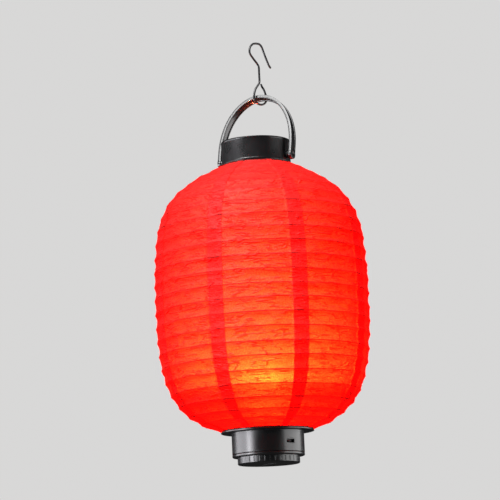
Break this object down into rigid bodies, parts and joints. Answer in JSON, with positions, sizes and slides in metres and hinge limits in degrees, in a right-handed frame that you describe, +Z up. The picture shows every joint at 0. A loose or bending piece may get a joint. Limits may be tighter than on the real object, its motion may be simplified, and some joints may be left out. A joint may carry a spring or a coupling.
{
  "type": "accordion paper lantern",
  "caption": "Hanging accordion paper lantern: lapped red paper gores over wire hoops, open collar with swinging bail and wire hook, and a battery base with a lamp.",
  "frame": {"origin": "centre of the foot's flat underside, on the lantern's axis", "axes": "+Z up along the lantern's axis towards the hook; X along the bail's pegs"},
  "size_m": [0.2056, 0.2056, 0.4107],
  "materials": {
    "paper": "thin translucent red paper, creased",
    "rib_wire": "plain steel wire",
    "black_gloss": "glossy moulded black",
    "black_matte": "moulded black",
    "hook_wire": "black coated wire",
    "cell_sleeve": "plain printed sleeve with no marks",
    "contact_steel": "nickel plated",
    "board": "solder mask",
    "lamp": "clear amber epoxy, lit",
    "lead_red": "insulated wire",
    "lead_black": "insulated wire"
  },
  "bodies": {
    "top": {"top_collar": "black_gloss", "collar_clamp_ring": "black_matte", "end_hoop_top": "rib_wire", "paper_panel_1": "paper", "paper_panel_2": "paper", "paper_panel_3": "paper", "paper_panel_4": "paper", "paper_panel_5": "paper", "paper_panel_6": "paper", "paper_panel_7": "paper", "paper_panel_8": "paper"},
    "base": {"base_housing": "black_gloss", "base_clamp_ring": "black_matte", "end_hoop_bottom": "rib_wire", "battery_cradle": "black_matte", "battery_1": "cell_sleeve", "battery_2": "cell_sleeve", "battery_3": "cell_sleeve", "contact_spring_1": "contact_steel", "contact_spring_2": "contact_steel", "contact_spring_3": "contact_steel", "contact_bridge_a": "contact_steel", "contact_bridge_b": "contact_steel", "terminal_positive": "contact_steel", "terminal_negative": "contact_steel", "circuit_board": "board", "lamp_socket": "black_matte", "led_lamp": "lamp", "switch_body": "contact_steel", "cradle_screw_1": "contact_steel", "cradle_screw_2": "contact_steel", "lead_red": "lead_red", "lead_black": "lead_black"},
    "battery_cover": {"battery_cover": "black_gloss"},
    "switch_knob": {"switch_knob": "black_gloss"},
    "bail": {"bail_handle": "black_gloss"},
    "hook": {"hanging_hook": "hook_wire"},
    "rib_01": {"rib_01": "rib_wire"},
    "rib_02": {"rib_02": "rib_wire"},
    "rib_03": {"rib_03": "rib_wire"},
    "rib_04": {"rib_04": "rib_wire"},
    "rib_05": {"rib_05": "rib_wire"},
    "rib_06": {"rib_06": "rib_wire"},
    "rib_07": {"rib_07": "rib_wire"},
    "rib_08": {"rib_08": "rib_wire"},
    "rib_09": {"rib_09": "rib_wire"},
    "rib_10": {"rib_10": "rib_wire"},
    "rib_11": {"rib_11": "rib_wire"},
    "rib_12": {"rib_12": "rib_wire"},
    "rib_13": {"rib_13": "rib_wire"},
    "rib_14": {"rib_14": "rib_wire"},
    "rib_15": {"rib_15": "rib_wire"},
    "rib_16": {"rib_16": "rib_wire"},
    "rib_17": {"rib_17": "rib_wire"},
    "rib_18": {"rib_18": "rib_wire"},
    "rib_19": {"rib_19": "rib_wire"},
    "rib_20": {"rib_20": "rib_wire"},
    "rib_21": {"rib_21": "rib_wire"},
    "rib_22": {"rib_22": "rib_wire"}
  },
  "joints": [
    {"name": "shade_fold", "type": "slide", "parent": "top", "child": "base", "axis": [0, 0, 1], "range_m": [0, 0.2], "deforming": ["paper_panel_1", "paper_panel_2", "paper_panel_3", "paper_panel_4", "paper_panel_5", "paper_panel_6", "paper_panel_7", "paper_panel_8"]},
    {"name": "rib_01_slide", "type": "slide", "parent": "top", "child": "rib_01", "axis": [0, 0, 1], "range_m": [0, 0.19388]},
    {"name": "rib_02_slide", "type": "slide", "parent": "top", "child": "rib_02", "axis": [0, 0, 1], "range_m": [0, 0.18836]},
    {"name": "rib_03_slide", "type": "slide", "parent": "top", "child": "rib_03", "axis": [0, 0, 1], "range_m": [0, 0.18111]},
    {"name": "rib_04_slide", "type": "slide", "parent": "top", "child": "rib_04", "axis": [0, 0, 1], "range_m": [0, 0.17245]},
    {"name": "rib_05_slide", "type": "slide", "parent": "top", "child": "rib_05", "axis": [0, 0, 1], "range_m": [0, 0.16288]},
    {"name": "rib_06_slide", "type": "slide", "parent": "top", "child": "rib_06", "axis": [0, 0, 1], "range_m": [0, 0.15284]},
    {"name": "rib_07_slide", "type": "slide", "parent": "top", "child": "rib_07", "axis": [0, 0, 1], "range_m": [0, 0.14258]},
    {"name": "rib_08_slide", "type": "slide", "parent": "top", "child": "rib_08", "axis": [0, 0, 1], "range_m": [0, 0.13221]},
    {"name": "rib_09_slide", "type": "slide", "parent": "top", "child": "rib_09", "axis": [0, 0, 1], "range_m": [0, 0.1218]},
    {"name": "rib_10_slide", "type": "slide", "parent": "top", "child": "rib_10", "axis": [0, 0, 1], "range_m": [0, 0.11137]},
    {"name": "rib_11_slide", "type": "slide", "parent": "top", "child": "rib_11", "axis": [0, 0, 1], "range_m": [0, 0.10093]},
    {"name": "rib_12_slide", "type": "slide", "parent": "top", "child": "rib_12", "axis": [0, 0, 1], "range_m": [0, 0.09049]},
    {"name": "rib_13_slide", "type": "slide", "parent": "top", "child": "rib_13", "axis": [0, 0, 1], "range_m": [0, 0.08006]},
    {"name": "rib_14_slide", "type": "slide", "parent": "top", "child": "rib_14", "axis": [0, 0, 1], "range_m": [0, 0.06965]},
    {"name": "rib_15_slide", "type": "slide", "parent": "top", "child": "rib_15", "axis": [0, 0, 1], "range_m": [0, 0.0593]},
    {"name": "rib_16_slide", "type": "slide", "parent": "top", "child": "rib_16", "axis": [0, 0, 1], "range_m": [0, 0.04909]},
    {"name": "rib_17_slide", "type": "slide", "parent": "top", "child": "rib_17", "axis": [0, 0, 1], "range_m": [0, 0.03921]},
    {"name": "rib_18_slide", "type": "slide", "parent": "top", "child": "rib_18", "axis": [0, 0, 1], "range_m": [0, 0.0301]},
    {"name": "rib_19_slide", "type": "slide", "parent": "top", "child": "rib_19", "axis": [0, 0, 1], "range_m": [0, 0.02227]},
    {"name": "rib_20_slide", "type": "slide", "parent": "top", "child": "rib_20", "axis": [0, 0, 1], "range_m": [0, 0.01583]},
    {"name": "rib_21_slide", "type": "slide", "parent": "top", "child": "rib_21", "axis": [0, 0, 1], "range_m": [0, 0.01039]},
    {"name": "rib_22_slide", "type": "slide", "parent": "top", "child": "rib_22", "axis": [0, 0, 1], "range_m": [0, 0.0055]},
    {"name": "bail_pivot", "type": "hinge", "parent": "top", "child": "bail", "pos_m": [0, 0, 0.293], "axis": [1, 0, 0], "range_deg": [-77.5, 102.5]},
    {"name": "hook_swing", "type": "hinge", "parent": "bail", "child": "hook", "pos_m": [0, 0.01385, 0.35548], "axis": [-1, 0, 0], "range_deg": [-60, 60]},
    {"name": "switch_slide", "type": "slide", "parent": "base", "child": "switch_knob", "axis": [0.4067, 0.9135, 0], "range_m": [0, 0.0032]},
    {"name": "cover_turn", "type": "hinge", "parent": "base", "child": "battery_cover", "pos_m": [0, 0, 0], "axis": [0, 0, 1], "range_deg": [0, 32]}
  ],
  "couplings": [
    {"joint": "rib_01_slide", "follows": "shade_fold", "ratio": 0.96937},
    {"joint": "rib_02_slide", "follows": "shade_fold", "ratio": 0.94175},
    {"joint": "rib_03_slide", "follows": "shade_fold", "ratio": 0.90552},
    {"joint": "rib_04_slide", "follows": "shade_fold", "ratio": 0.86219},
    {"joint": "rib_05_slide", "follows": "shade_fold", "ratio": 0.81436},
    {"joint": "rib_06_slide", "follows": "shade_fold", "ratio": 0.76415},
    {"joint": "rib_07_slide", "follows": "shade_fold", "ratio": 0.71285},
    {"joint": "rib_08_slide", "follows": "shade_fold", "ratio": 0.66102},
    {"joint": "rib_09_slide", "follows": "shade_fold", "ratio": 0.60896},
    {"joint": "rib_10_slide", "follows": "shade_fold", "ratio": 0.5568},
    {"joint": "rib_11_slide", "follows": "shade_fold", "ratio": 0.50459},
    {"joint": "rib_12_slide", "follows": "shade_fold", "ratio": 0.45239},
    {"joint": "rib_13_slide", "follows": "shade_fold", "ratio": 0.40024},
    {"joint": "rib_14_slide", "follows": "shade_fold", "ratio": 0.34822},
    {"joint": "rib_15_slide", "follows": "shade_fold", "ratio": 0.29646},
    {"joint": "rib_16_slide", "follows": "shade_fold", "ratio": 0.2454},
    {"joint": "rib_17_slide", "follows": "shade_fold", "ratio": 0.19601},
    {"joint": "rib_18_slide", "follows": "shade_fold", "ratio": 0.15043},
    {"joint": "rib_19_slide", "follows": "shade_fold", "ratio": 0.1113},
    {"joint": "rib_20_slide", "follows": "shade_fold", "ratio": 0.079101},
    {"joint": "rib_21_slide", "follows": "shade_fold", "ratio": 0.051887},
    {"joint": "rib_22_slide", "follows": "shade_fold", "ratio": 0.027435}
  ]
}
